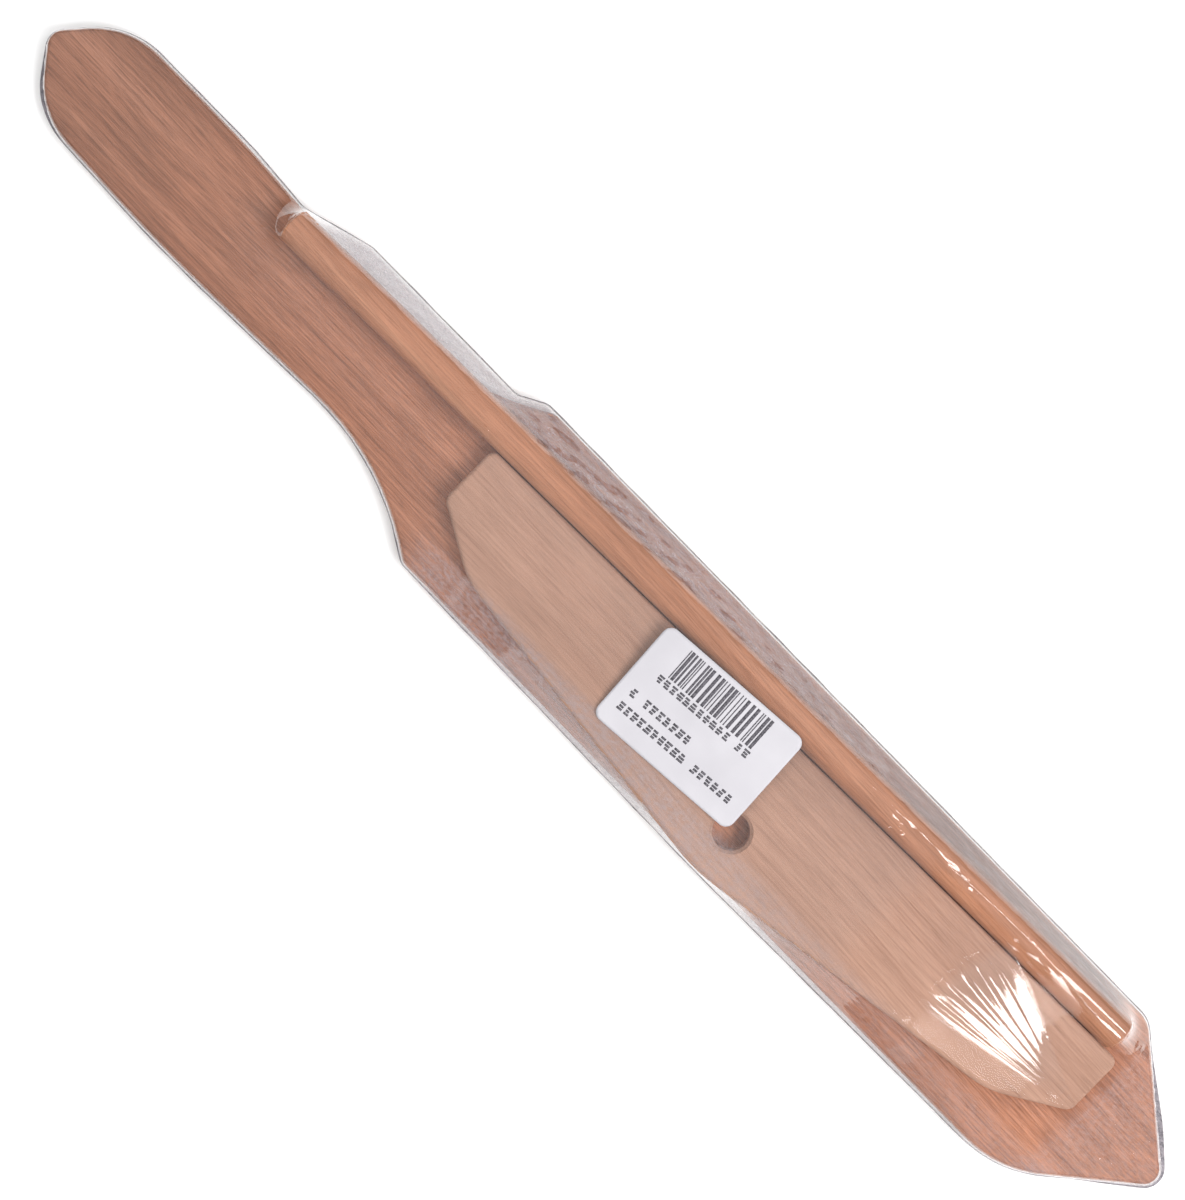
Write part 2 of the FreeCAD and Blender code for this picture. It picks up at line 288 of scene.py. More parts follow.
def wood(name, dark, base, light, turn, fibre, figure, roughness, seed, painted_light_gradient=0.0):
    """Bare hardwood with its grain along X, turned with the piece.

    fibre is how strongly the fine streaks show, and figure how strongly the broad bands do.
    painted_light_gradient is how much lighter the colour is painted from the neck to the blade, a painted
    light gradient for the light falling stronger towards the tip.
    """
    s = Shader(name)
    at = s.add("ShaderNodeVectorMath", {0: s.place(), 1: (seed, seed * 0.7, seed * 0.3)}).outputs[0]
    drift = s.noise(s.scaled(at, (9.0, 22.0, 22.0), turn), 1.0)
    bend = s.add("ShaderNodeCombineXYZ", {"Y": s.maths("MULTIPLY", drift, GRAIN_DRIFT)}).outputs[0]
    grain = s.add("ShaderNodeVectorMath", {0: at, 1: bend}).outputs[0]
    bands = s.noise(s.scaled(grain, (5.0, 260.0, 90.0), turn), 3.0, 0.6)
    streaks = s.noise(s.scaled(grain, (55.0, 1900.0, 1500.0), turn), 3.0, 0.65)
    threads = s.noise(s.scaled(grain, (140.0, 4200.0, 3600.0), turn), 2.0, 0.6)
    flecks = s.noise(s.scaled(grain, (420.0, 3300.0, 5200.0), turn), 1.0)
    mottle = s.noise(s.scaled(at, (28.0, 45.0, 45.0), turn), 2.0)
    colour = s.ramp(
        s.level(bands, 0.5 - 0.5 / figure, 0.5 + 0.5 / figure),
        [(0.0, dark), (0.5, base), (1.0, light)],
    )
    colour = s.mixed(fibre, colour, s.ramp(streaks, STREAK_TONES), "MULTIPLY")
    colour = s.mixed(fibre * 0.8, colour, s.ramp(threads, THREAD_TONES), "MULTIPLY")
    fleck_share = s.level(flecks, 0.66, 0.74, 0.0, 0.45 * fibre)
    colour = s.mixed(fleck_share, colour, (*[c * 0.5 for c in dark], 1.0))
    colour = s.mixed(0.8, colour, s.ramp(mottle, MOTTLE_TONES), "MULTIPLY")
    # Painted light: the colour is lifted along X, lighter towards the blade, as if more light fell there.
    along = s.add("ShaderNodeSeparateXYZ", {0: s.place()}).outputs["X"]
    lift = s.level(along, PAINTED_LIGHT_FROM, PAINTED_LIGHT_TO, 1.0, 1.0 + painted_light_gradient)
    colour = s.add("ShaderNodeVectorMath", {0: colour, "Scale": lift}, operation="SCALE").outputs[0]
    height = s.maths("ADD", s.maths("MULTIPLY", streaks, 0.7), s.maths("MULTIPLY", threads, 0.3))
    skin = s.add(
        "ShaderNodeBsdfPrincipled",
        {
            "Base Color": colour,
            "Roughness": s.level(streaks, 0.3, 0.7, roughness + 0.1, roughness - 0.05),
            "Normal": s.bump(height, WOOD_BUMP, 0.8),
            "Specular IOR Level": 0.35,
        },
    )
    return s.finish(skin.outputs[0])


def film_material():
    """Clear shrink film: see-through and glossy, grey where it is welded, hazy where it is bunched,
    greyed as painted shade over the loose band beside the handle, and milky as a painted reflection on
    the blade's side.

    Each point of a sheet holds its milky veil, which is haze and on the blade's side a painted
    reflection, how much fine ripple it has, how grey it is, which is 1 at the weld and is painted shade
    over the band, and how clean its gloss is.
    """
    s = Shader("clear_film_look")
    at = s.place()
    fine = s.noise(s.scaled(at, (150.0, 380.0, 300.0)), 3.0, 0.6)
    coarse = s.noise(s.scaled(at, (40.0, 90.0, 80.0)), 2.0)
    ripple = s.maths("MULTIPLY", fine, s.held("ripple"))
    height = s.maths("ADD", s.maths("MULTIPLY", coarse, 0.12), ripple)
    normal = s.bump(height, FILM_BUMP, 0.4)
    from_behind = s.maths("MULTIPLY", s.backfacing(), FILM_IOR - 1 / FILM_IOR)
    index = s.maths("SUBTRACT", FILM_IOR, from_behind)
    fresnel = s.add("ShaderNodeFresnel", {"IOR": index, "Normal": normal}).outputs[0]
    mirrored = s.maths("MINIMUM", s.maths("MULTIPLY", fresnel, MIRROR_BOOST), 1.0)
    mirrored = s.maths("MULTIPLY", mirrored, s.held("clean"))
    # The grey tint darkens the weld, and is painted shade over the loose band beside the handle.
    tint = s.mixed(s.held("weld"), CLEAR_TINT, WELD_AND_PAINTED_SHADE_TINT)
    clear = s.add("ShaderNodeBsdfTransparent", {"Color": tint})
    gloss = s.add(
        "ShaderNodeBsdfGlossy",
        {"Color": (*WHITE, 1.0), "Roughness": FILM_ROUGHNESS, "Normal": normal},
    )
    skin = s.add("ShaderNodeMixShader", {"Fac": mirrored, 1: clear.outputs[0], 2: gloss.outputs[0]})
    specks = s.noise(s.scaled(at, (700.0, 1300.0, 900.0)), 2.0, 0.7)
    # The milky veil is haze, and on the blade's side a painted reflection.
    share = s.maths("MULTIPLY", s.held("milky_veil"), s.level(specks, 0.35, 0.65, 0.4, 1.5))
    milky = s.add("ShaderNodeBsdfDiffuse", {"Color": MILKY_VEIL_COLOUR})
    skin = s.add("ShaderNodeMixShader", {"Fac": share, 1: skin.outputs[0], 2: milky.outputs[0]})
    return s.finish(skin.outputs[0])


def label_material():
    """White coated paper with a faint tooth."""
    s = Shader("label_paper_look")
    at = s.place()
    tooth = s.noise(s.scaled(at, (1800.0, 1800.0, 1800.0)), 3.0)
    cloud = s.noise(s.scaled(at, (90.0, 90.0, 90.0)), 2.0)
    colour = s.ramp(cloud, [(0.3, (0.50, 0.485, 0.515)), (0.7, (0.55, 0.535, 0.565))])
    skin = s.add(
        "ShaderNodeBsdfPrincipled",
        {"Base Color": colour, "Roughness": 0.48, "Normal": s.bump(tooth, 0.02 * MM, 0.5)},
    )
    return s.finish(skin.outputs[0])


def ink_material():
    """Dark grey thermal print, uneven as it comes off the printer."""
    s = Shader("label_ink_look")
    patchy = s.noise(s.scaled(s.place(), (2600.0, 2600.0, 2600.0)), 3.0, 0.7)
    colour = s.ramp(patchy, [(0.35, (0.035, 0.033, 0.04)), (0.65, (0.16, 0.15, 0.17))])
    skin = s.add("ShaderNodeBsdfPrincipled", {"Base Color": colour, "Roughness": 0.6})
    return s.finish(skin.outputs[0])


def floor_material():
    """A plain pale paper sweep."""
    s = Shader("floor_look")
    soft = s.noise(s.scaled(s.place(), (3.0, 3.0, 3.0)), 2.0)
    colour = s.ramp(soft, [(0.0, (0.92, 0.92, 0.92)), (1.0, (0.94, 0.94, 0.94))])
    skin = s.add("ShaderNodeBsdfPrincipled", {"Base Color": colour, "Roughness": 0.9})
    return s.finish(skin.outputs[0])


def make_floor():
    """A plain square just below everything."""
    mesh = bpy.data.meshes.new("floor")
    corners = [(-1, -1), (1, -1), (1, 1), (-1, 1)]
    mesh.from_pydata([(x * FLOOR_HALF, y * FLOOR_HALF, 0) for x, y in corners], [], [(0, 1, 2, 3)])
    floor = bpy.data.objects.new("floor", mesh)
    bpy.context.scene.collection.objects.link(floor)
    floor.data.materials.append(floor_material())
    floor.location.z = -FLOOR_DROP


# ---- the film ----
GRID_STEP = 0.5 * MM           # of the height map that the film is stretched on
FILM_OFF_WOOD = 0.08 * MM
RAY_START_Z = 0.1
RELAX_ROUNDS = 700
OVER_RELAX = 1.92
RING_STEP = 0.6 * MM
RING_DEPTHS = np.array([0.16, 0.24, 0.36, 0.55, 0.85, 1.25, 1.75, 2.3]) * MM
SHEET_STEP = 0.8 * MM
FINE_STEP = 0.36 * MM
SPARKLE_STEP = 0.22 * MM
FIELD_MARGIN = 0.25 * MM
FRINGE_WIDTH = 0.15 * MM       # of the weld outside the seam


def outline_of(node):
    """The outline of a flat-bottomed node, anticlockwise, as an array of points."""
    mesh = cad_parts[node].data
    lowest = min(v.co.z for v in mesh.vertices)
    on_base = [p for p in mesh.polygons if all(mesh.vertices[v].co.z < lowest + 1e-5 for v in p.vertices)]
    key = {v.index: (round(v.co.x, 6), round(v.co.y, 6)) for v in mesh.vertices}
    sides = {}
    for polygon in on_base:
        ring = [key[v] for v in polygon.vertices]
        for a, b in zip(ring, ring[1:] + ring[:1]):
            if (b, a) in sides:
                del sides[(b, a)]
            else:
                sides[(a, b)] = True
    step = {a: b for a, b in sides}
    start = next(iter(step))
    points = [start]
    while step[points[-1]] != start:
        points.append(step[points[-1]])
    points = np.array(points)
    area = np.sum(points[:, 0] * np.roll(points[:, 1], -1) - np.roll(points[:, 0], -1) * points[:, 1])
    return points if area > 0 else points[::-1]


def resampled(points, step):
    """The closed outline again, with evenly spaced points."""
    closed = np.vstack([points, points[:1]])
    run = np.concatenate([[0.0], np.cumsum(np.linalg.norm(np.diff(closed, axis=0), axis=1))])
    count = int(round(run[-1] / step))
    at = np.arange(count) * run[-1] / count
    return np.column_stack([np.interp(at, run, closed[:, i]) for i in (0, 1)])


def outward(points):
    """The outward direction at each point of an anticlockwise outline."""
    along = np.roll(points, -1, axis=0) - np.roll(points, 1, axis=0)
    normal = np.column_stack([along[:, 1], -along[:, 0]])
    return normal / np.linalg.norm(normal, axis=1)[:, None]


def depth_inside(points, outline):
    """How far each point lies inside the outline, negative outside."""
    a = outline
    b = np.roll(outline, -1, axis=0)
    side = b - a
    nearest = np.full(len(points), np.inf)
    crossings = np.zeros(len(points), int)
    for start, end, way in zip(a, b, side):
        off = points - start
        share = np.clip(off @ way / (way @ way), 0.0, 1.0)
        nearest = np.minimum(nearest, np.linalg.norm(off - share[:, None] * way, axis=1))
        spans = (start[1] > points[:, 1]) != (end[1] > points[:, 1])
        if way[1] != 0:
            crosses = spans & (points[:, 0] < start[0] + (points[:, 1] - start[1]) * way[0] / way[1])
            crossings += crosses
    return np.where(crossings % 2 == 1, nearest, -nearest)


def tree_of(node):
    """A search tree over a CAD node's faces."""
    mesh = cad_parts[node].data
    return BVHTree.FromPolygons([v.co for v in mesh.vertices], [p.vertices for p in mesh.polygons])


WOOD_TREES = [tree_of(node) for node in ("spatula", "spreader_blade", "spreader_handle")]


def wood_height(points):
    """The top of the wood above each point, or the seam's level where there is none."""
    down = Vector((0.0, 0.0, -1.0))
    heights = np.full(len(points), SEAM_Z)
    for index, (x, y) in enumerate(points):
        for tree in WOOD_TREES:
            hit = tree.ray_cast(Vector((x, y, RAY_START_Z)), down)[0]
            if hit is not None and hit.z > heights[index]:
                heights[index] = hit.z
    return heights


def stretched(outline):
    """The height map of a tight sheet over the wood, held down along the outline."""
    low = outline.min(0) - 2 * GRID_STEP
    high = outline.max(0) + 2 * GRID_STEP
    xs = np.arange(low[0], high[0] + GRID_STEP, GRID_STEP)
    ys = np.arange(low[1], high[1] + GRID_STEP, GRID_STEP)
    grid = np.stack(np.meshgrid(xs, ys, indexing="ij"), axis=-1)
    points = grid.reshape(-1, 2)
    inside = (depth_inside(points, outline) > 0).reshape(len(xs), len(ys))
    floor = wood_height(points).reshape(len(xs), len(ys)) + FILM_OFF_WOOD
    floor[~inside] = SEAM_Z
    heights = floor.copy()
    parity = np.indices(heights.shape).sum(0) % 2
    for _ in range(RELAX_ROUNDS):
        for colour in (0, 1):
            around = np.zeros_like(heights)
            around[1:-1, 1:-1] = (
                heights[2:, 1:-1] + heights[:-2, 1:-1] + heights[1:-1, 2:] + heights[1:-1, :-2]
            ) / 4
            moved = heights + OVER_RELAX * (around - heights)
            held = np.where(inside, np.maximum(moved, floor), SEAM_Z)
            heights = np.where(parity == colour, held, heights)
    return xs, ys, heights


def sampled(grid, points):
    """A height map read between its points."""
    xs, ys, heights = grid
    u = np.clip((points[:, 0] - xs[0]) / GRID_STEP, 0, len(xs) - 1.001)
    v = np.clip((points[:, 1] - ys[0]) / GRID_STEP, 0, len(ys) - 1.001)
    i, j = u.astype(int), v.astype(int)
    fu, fv = u - i, v - j
    return (
        heights[i, j] * (1 - fu) * (1 - fv)
        + heights[i + 1, j] * fu * (1 - fv)
        + heights[i, j + 1] * (1 - fu) * fv
        + heights[i + 1, j + 1] * fu * fv
    )


def smooth_step(value, low, high):
    """0 below low, 1 above high, smooth between."""
    t = np.clip((value - low) / (high - low), 0.0, 1.0)
    return t * t * (3 - 2 * t)


def plateau(value, rise, full, fall, end):
    """0 outside, 1 between full and fall, smooth in between."""
    return smooth_step(value, rise, full) * (1 - smooth_step(value, fall, end))


def make_mesh(name, vertices, faces, material):
    """A smooth mesh object from points and faces, its faces turned up."""
    mesh = bpy.data.meshes.new(name)
    mesh.from_pydata([tuple(v) for v in vertices], [], [tuple(f) for f in faces])
    if sum(p.normal.z for p in mesh.polygons) < 0:
        mesh.flip_normals()
    mesh.shade_smooth()
    mesh.materials.append(material)
    thing = bpy.data.objects.new(name, mesh)
    bpy.context.scene.collection.objects.link(thing)
    return thing


def set_attribute(thing, name, values):
    """Stores a number at each vertex."""
    attribute = thing.data.attributes.new(name, "FLOAT", "POINT")
    attribute.data.foreach_set("value", np.asarray(values, np.float32))


def soft_noise(points, scale, seed, along=1.0):
    """Smooth random waves of about this wavelength, longer along X by this factor."""
    local = np.random.default_rng(seed)
    total = np.zeros(len(points))
    x, y = points[:, 0] / along, points[:, 1]
    for _ in range(NOISE_WAVES):
        heading = local.uniform(0, 2 * math.pi)
        wave = 2 * math.pi / (scale * local.uniform(0.6, 1.8))
        phase = local.uniform(0, 2 * math.pi)
        total += np.sin((x * math.cos(heading) + y * math.sin(heading)) * wave + phase)
    return total / NOISE_WAVES ** 0.5


def near(points, place, reach):
    """1 at a place, falling smoothly to nothing at about twice the reach."""
    away = np.linalg.norm(points - np.array(place), axis=1)
    return np.exp(-((away / reach) ** 2))


def handle_axis(x):
    """The handle's axis in plan, at each x."""
    share = (x - handle_low.x) / (handle_high.x - handle_low.x)
    start = handle_low.y + HANDLE_RADIUS
    return start + share * (handle_high.y - HANDLE_RADIUS - start)


# The pleats fan out from a point by the near end of the board.
FAN_FOCUS = np.array([board_high.x + 1.3 * MM, BLADE_AXIS_Y - 1.9 * MM])
FAN_ANGLES = (-11.0, 22.0)     # degrees, from the board's length towards the handle
FAN_REACH = (2.0 * MM, 43.0 * MM)
FAN_PERIOD = 5.0               # degrees
FAN_SLOPE = 0.055              # of a pleat's sides, rise over run
POINTS_PER_PLEAT = 14
PLEAT_STEP = 0.9 * MM          # between the rows of points
CLOSEST_POINTS = 0.07 * MM


def fan_place(points):
    """Each point's distance from the fan's focus, and its angle in degrees."""
    off = points - FAN_FOCUS
    return np.hypot(off[:, 0], off[:, 1]), np.degrees(np.arctan2(off[:, 1], -off[:, 0]))


def in_fan(points):
    """True where a point is in the fan."""
    reach, angle = fan_place(points)
    low, high = FAN_ANGLES
    return (reach > FAN_REACH[0]) & (reach < FAN_REACH[1]) & (angle > low) & (angle < high)


def fan_pleats(points):
    """Shallow pleats that spread from the near end of the board, as the film is gathered there."""
    reach, angle = fan_place(points)
    low, high = FAN_ANGLES
    across = plateau(angle, low, low + 3.0, high - 4.0, high)
    start, end = FAN_REACH
    along = plateau(reach, start, start + 6.0 * MM, end - 6.0 * MM, end)
    wander = 0.35 * np.sin(reach / (5.2 * MM) + angle * 0.35) + 0.5 * np.sin(angle * 0.9)
    turn = 2 * math.pi / FAN_PERIOD
    wave = np.sin(angle * turn + wander) + 0.35 * np.sin(angle * turn * 1.83 + 2.0 + 1.5 * wander)
    period = reach * math.radians(FAN_PERIOD)
    return FAN_SLOPE * period / (2 * math.pi) * wave * across * along


def dulled(points):
    """1 where the film lies dull over the board, on both sides of the fan, and 0 elsewhere."""
    reach, angle = fan_place(points)
    low, high = FAN_ANGLES
    fan = plateau(angle, low - 1.0, low + 1.0, high - 1.0, high + 2.0)
    fan *= 1 - smooth_step(reach, FAN_REACH[1] - 4 * MM, FAN_REACH[1])
    x, y = points[:, 0], points[:, 1]
    end = board_high.x
    over_board = plateau(x, end - 66 * MM, end - 56 * MM, end - 4 * MM, end + 9 * MM)
    over_board *= smooth_step(y, BLADE_AXIS_Y - 20 * MM, BLADE_AXIS_Y - 13 * MM)
    below_handle = 1 - smooth_step(y - handle_axis(x), -0.5 * HANDLE_RADIUS, -0.05 * HANDLE_RADIUS)
    return over_board * below_handle * (1 - fan)


def tip_ripples(points, depth):
    """Long shallow ripples beside the outline on the blade's side of the tip."""
    x, y = points[:, 0], points[:, 1] - BLADE_AXIS_Y
    along = plateau(x, TIP_X - 38 * MM, TIP_X - 31 * MM, TIP_X - 16 * MM, TIP_X - 9 * MM)
    across = plateau(depth, 0.9 * MM, 1.6 * MM, 4.5 * MM, 6.5 * MM)
    broken = 0.55 + 0.45 * soft_noise(points, 9 * MM, 21)
    wave = np.sin(2 * math.pi * depth / (1.35 * MM) + 0.8 * soft_noise(points, 12 * MM, 22))
    return 0.016 * MM * wave * along * across * broken * (y < -6 * MM)


def handle_ripples(points):
    """Fine ripples along the handle, towards its near end, where the film over it has puckered."""
    x = points[:, 0]
    off = np.abs(points[:, 1] - handle_axis(x)) / HANDLE_RADIUS
    end = handle_high.x
    along = plateau(x, end - 84 * MM, end - 70 * MM, end - 26 * MM, end - 20 * MM)
    wave = soft_noise(points, 1.5 * MM, 31, along=3.5)
    return 0.03 * MM * wave * along * (1 - smooth_step(off, 0.55, 1.0))


def band_place(points, depth):
    """How far each point is into the loose band between the handle and the outline, 0 to 1."""
    beyond = points[:, 1] - handle_axis(points[:, 0])
    x = points[:, 0]
    across = smooth_step(beyond, 0.62 * HANDLE_RADIUS, 1.15 * HANDLE_RADIUS)
    across *= smooth_step(depth, 0.25 * MM, 1.0 * MM)
    start, end = handle_low.x, handle_high.x
    along = plateau(x, start + 2 * MM, start + 9 * MM, end - 6 * MM, end)
    return across * along


def band_crumple(points, depth):
    """The crumpled film in that band, flatter towards the tip."""
    x = points[:, 0]
    calm = 1 - 0.65 * smooth_step(x, handle_high.x - 85 * MM, handle_high.x - 60 * MM)
    long_folds = soft_noise(points, 2.3 * MM, 41, along=3.2)
    creased = 1 - np.abs(soft_noise(points, 4.2 * MM, 42, along=1.6))
    return band_place(points, depth) * calm * (0.16 * MM * long_folds + 0.14 * MM * creased)


def sparkle_places():
    """Small blisters near the far end of the grip, on the handle's side."""
    local = np.random.default_rng(5)
    share = np.linspace(0.0, 1.0, 11)
    x = wood_low.x + 16.5 * MM + share * 13.5 * MM + local.uniform(-0.8, 0.8, 11) * MM
    y = BLADE_AXIS_Y + 16.0 * MM - share * 2.0 * MM + local.uniform(-1.7, 1.3, 11) * MM
    return np.column_stack([x, y]), local.uniform(0.28, 0.45, 11) * MM


SPARKLES, SPARKLE_SIZES = sparkle_places()


def sparkles(points):
    """The blisters' height."""
    total = np.zeros(len(points))
    for place, size in zip(SPARKLES, SPARKLE_SIZES):
        away = np.linalg.norm(points - place, axis=1)
        total += 0.8 * size * np.exp(-((away / size) ** 2) / 2)
    return total


CREASE_BOW = 0.04              # of a crease's length, sideways
CREASE_STEP = 0.45 * MM        # between a crease's points

# Creases in the film, as (start, end, height, half width) in mm.  The first group is placed from
# the tip and the blade's axis, and the second from the middle of the handle's far end.
CREASES_NEAR_END = [
    ((-104.1, 14.7), (-97.6, 13.4), 0.30, 0.5),
    ((-102.1, 12.2), (-99.1, 15.4), 0.22, 0.4),
    ((-103.0, 13.2), (-30.0, 15.0), 0.12, 0.35),
    ((-24.6, 13.6), (-19.1, 11.2), 0.25, 0.4),
    ((-25.6, 16.2), (-19.6, 17.7), 0.28, 0.45),
    ((-27.0, 18.2), (-24.4, 19.0), 0.40, 0.5),
    ((-26.1, 11.4), (-22.1, 3.7), 0.18, 0.4),
    ((-16.6, 3.2), (-12.1, -2.8), 0.14, 0.35),
    ((-21.1, -2.3), (-15.1, -5.3), 0.16, 0.35),
    ((-13.6, -5.3), (-10.6, -6.8), 0.14, 0.4),
    ((-18.1, 8.2), (-10.1, 2.2), 0.10, 0.35),
]
CREASES_FAR_END = [
    ((-5.2, -5.4), (-37.2, 1.0), 0.09, 0.35),
    ((-3.2, -4.6), (-7.7, -6.6), 0.22, 0.35),
    ((0.3, -4.6), (28.3, -5.0), 0.06, 0.3),
    ((58.3, 0.6), (64.3, -1.3), 0.30, 0.45),
    ((60.0, -1.6), (65.3, 0.5), 0.24, 0.4),
]


def creases():
    """Every crease as start, end, height and half width, in metres."""
    near_end = np.array([TIP_X, BLADE_AXIS_Y])
    far_end = np.array([handle_low.x, handle_low.y + HANDLE_RADIUS])
    placed = []
    for anchor, group in ((near_end, CREASES_NEAR_END), (far_end, CREASES_FAR_END)):
        for start, end, height, half_width in group:
            placed.append(
                (anchor + np.array(start) * MM, anchor + np.array(end) * MM, height * MM, half_width * MM)
            )
    return placed


def crease_height(points):
    """The ridges of all the creases, each sharp at its crest and fading at its ends."""
    total = np.zeros(len(points))
    for start, end, height, half_width in creases():
        along = end - start
        length = np.linalg.norm(along)
        share = (points - start) @ along / length ** 2
        bow = CREASE_BOW * length * np.sin(np.clip(share, 0, 1) * math.pi)
        side = (points - start) @ np.array([-along[1], along[0]]) / length - bow
        fade = smooth_step(share, 0.0, 0.2) * (1 - smooth_step(share, 0.75, 1.0))
        total += height * fade * np.exp(-np.abs(side) / half_width)
    return total


def crease_points():
    """Extra points of the sheet along each crease, so that its crest is sharp."""
    rows = []
    for start, end, _, half_width in creases():
        along = end - start
        length = np.linalg.norm(along)
        aside = np.array([-along[1], along[0]]) / length
        for share in np.arange(0.0, 1.0, CREASE_STEP / length):
            bow = CREASE_BOW * length * math.sin(share * math.pi)
            for offset in (-half_width, -0.4 * half_width, 0.0, 0.4 * half_width, half_width):
                rows.append(start + share * along + aside * (bow + offset))
    return np.array(rows)


def hexagonal(step, low, high):
    """A field of evenly spaced points in a rectangle."""
    xs = np.arange(low[0], high[0], step)
    ys = np.arange(low[1], high[1], step * 0.866)
    x, y = np.meshgrid(xs, ys, indexing="ij")
    x = x + (np.arange(len(ys)) % 2) * step / 2
    return np.column_stack([x.ravel(), y.ravel()])


def polar_fan():
    """Points in rows across the pleats, from near the focus outwards."""
    turn = FAN_PERIOD / POINTS_PER_PLEAT
    reaches = np.arange(FAN_REACH[0], FAN_REACH[1], PLEAT_STEP)
    angles = np.radians(np.arange(FAN_ANGLES[0], FAN_ANGLES[1], turn))
    reach, angle = np.meshgrid(reaches, angles, indexing="ij")
    keep = reach * math.radians(turn) > CLOSEST_POINTS
    x = FAN_FOCUS[0] - reach * np.cos(angle)
    y = FAN_FOCUS[1] + reach * np.sin(angle)
    return np.column_stack([x[keep], y[keep]])


def weld_share(depth):
    """1 on the weld, 0 just inside it."""
    return 1 - smooth_step(depth, -0.05 * MM, 0.22 * MM)


def fringe_of(ring, out):
    """The outer edge of the weld: narrow, but wider at the grip's corner and beside the tip."""
    grip_corner = (wood_low.x + 5 * MM, BLADE_AXIS_Y - 12 * MM)
    beside_tip = (TIP_X - 8 * MM, BLADE_AXIS_Y + 9 * MM)
    width = FRINGE_WIDTH * (1 + 0.35 * soft_noise(ring, 14 * MM, 3))
    width += 0.8 * MM * near(ring, grip_corner, 9 * MM)
    width += 0.9 * MM * near(ring, beside_tip, 11 * MM)
    return ring + out * np.maximum(width, 0.07 * MM)[:, None]


def sheet_points(rings):
    """Points of the top sheet in plan: its rings, then fields of points as fine as each place needs."""
    ring = rings[1]
    low, high = ring.min(0), ring.max(0)
    fine_places = [
        (np.array([TIP_X - 75 * MM, low[1]]), high),
        (np.array([handle_low.x, handle_low.y + HANDLE_RADIUS]), high),
    ]
    sparkle_low, sparkle_high = SPARKLES.min(0) - 1.5 * MM, SPARKLES.max(0) + 1.5 * MM

    def within(points, corner_low, corner_high):
        return np.all((points > corner_low) & (points < corner_high), axis=1)

    coarse = hexagonal(SHEET_STEP, low, high)
    fine = hexagonal(FINE_STEP, low, high)
    in_fine = np.zeros(len(fine), bool)
    for corner_low, corner_high in fine_places:
        coarse = coarse[~within(coarse, corner_low, corner_high)]
        in_fine |= within(fine, corner_low, corner_high)
    fine = fine[in_fine]
    fine = fine[~in_fan(fine)]
    coarse = coarse[~in_fan(coarse) & ~within(coarse, sparkle_low, sparkle_high)]
    finest = hexagonal(SPARKLE_STEP, sparkle_low, sparkle_high)
    inner = np.vstack([coarse, fine, finest, polar_fan(), crease_points()])
    return inner[depth_inside(inner, ring) > RING_DEPTHS[-1] + FIELD_MARGIN]


def triangles(flat, outline_count):
    """Points of a plan triangulated inside its outline, which is its first points."""
    points, _, faces, origins, _, _ = geometry.delaunay_2d_cdt(
        [Vector(p) for p in flat], [], [list(range(outline_count))], 1, 1e-7
    )
    return np.array(points), faces, [o[0] for o in origins]


def film_mesh(name, plan, heights, faces, material, milky_veil, ripple, weld_grey_and_band_shade, clean):
    """A sheet of film, with what its material reads at each point."""
    sheet = make_mesh(name, np.column_stack([plan, heights]), faces, material)
    set_attribute(sheet, "milky_veil", milky_veil)
    set_attribute(sheet, "ripple", ripple)
    set_attribute(sheet, "weld", weld_grey_and_band_shade)
    set_attribute(sheet, "clean", clean)
    return sheet


# Shares of milky veil and of grey in the top sheet: the grey over the band is painted shade, and the
# milky veil on the blade's side is a painted reflection.
HAZE_ANYWHERE = 0.012
HAZE_OFF_WOOD = 0.03
HAZE_BAND = 0.22
# A painted reflection: a milky veil on the blade's side, where the sloping film reflects the bright
# surroundings.
LOW_SIDE_PAINTED_REFLECTION = 0.22
HAZE_TIP = 0.10
HAZE_WELD = 0.25
# Painted shade: grey over the loose band beside the handle, where that band lies in shade.
BAND_PAINTED_SHADE = 0.25
BAND_PAINTED_SHADE_BY_TIP = 0.32        # on top of that, towards the tip
DULL_SHARE = 0.93


def top_sheet_looks(plan, depth, gap):
    """The top sheet's milky veil, ripple, grey and clean; gap is 1 where it is well off the wood. The
    grey holds painted shade over the band, and the milky veil holds a painted reflection on the blade's
    side.
    """
    x = plan[:, 0]
    band = band_place(plan, depth)
    fringe = weld_share(depth)
    thinning = 1 - 0.85 * smooth_step(x, handle_high.x - 120 * MM, handle_high.x - 45 * MM)
    # Painted reflection: the milky veil on the blade's side of the board.
    low_side_painted_reflection = smooth_step(BLADE_AXIS_Y - plan[:, 1], 14 * MM, 18 * MM)
    low_side_painted_reflection *= smooth_step(x, -45 * MM, -30 * MM) * (1 - 0.6 * smooth_step(x, 30 * MM, 100 * MM))
    by_tip = smooth_step(x, board_high.x, board_high.x + 4 * MM)
    milky_veil = HAZE_ANYWHERE + HAZE_OFF_WOOD * gap + HAZE_BAND * band * thinning
    milky_veil += LOW_SIDE_PAINTED_REFLECTION * low_side_painted_reflection + HAZE_TIP * by_tip + HAZE_WELD * fringe
    ripple = (0.10 + 0.9 * band + 0.25 * gap * (1 - band)) * np.where(in_fan(plan), 0.25, 1.0)
    # The grey is the weld, plus painted shade over the band, stronger towards the tip.
    weld_grey_and_band_shade = fringe + band * (BAND_PAINTED_SHADE + BAND_PAINTED_SHADE_BY_TIP * smooth_step(x, 40 * MM, 105 * MM))
    return milky_veil, ripple, weld_grey_and_band_shade, 1 - DULL_SHARE * dulled(plan)


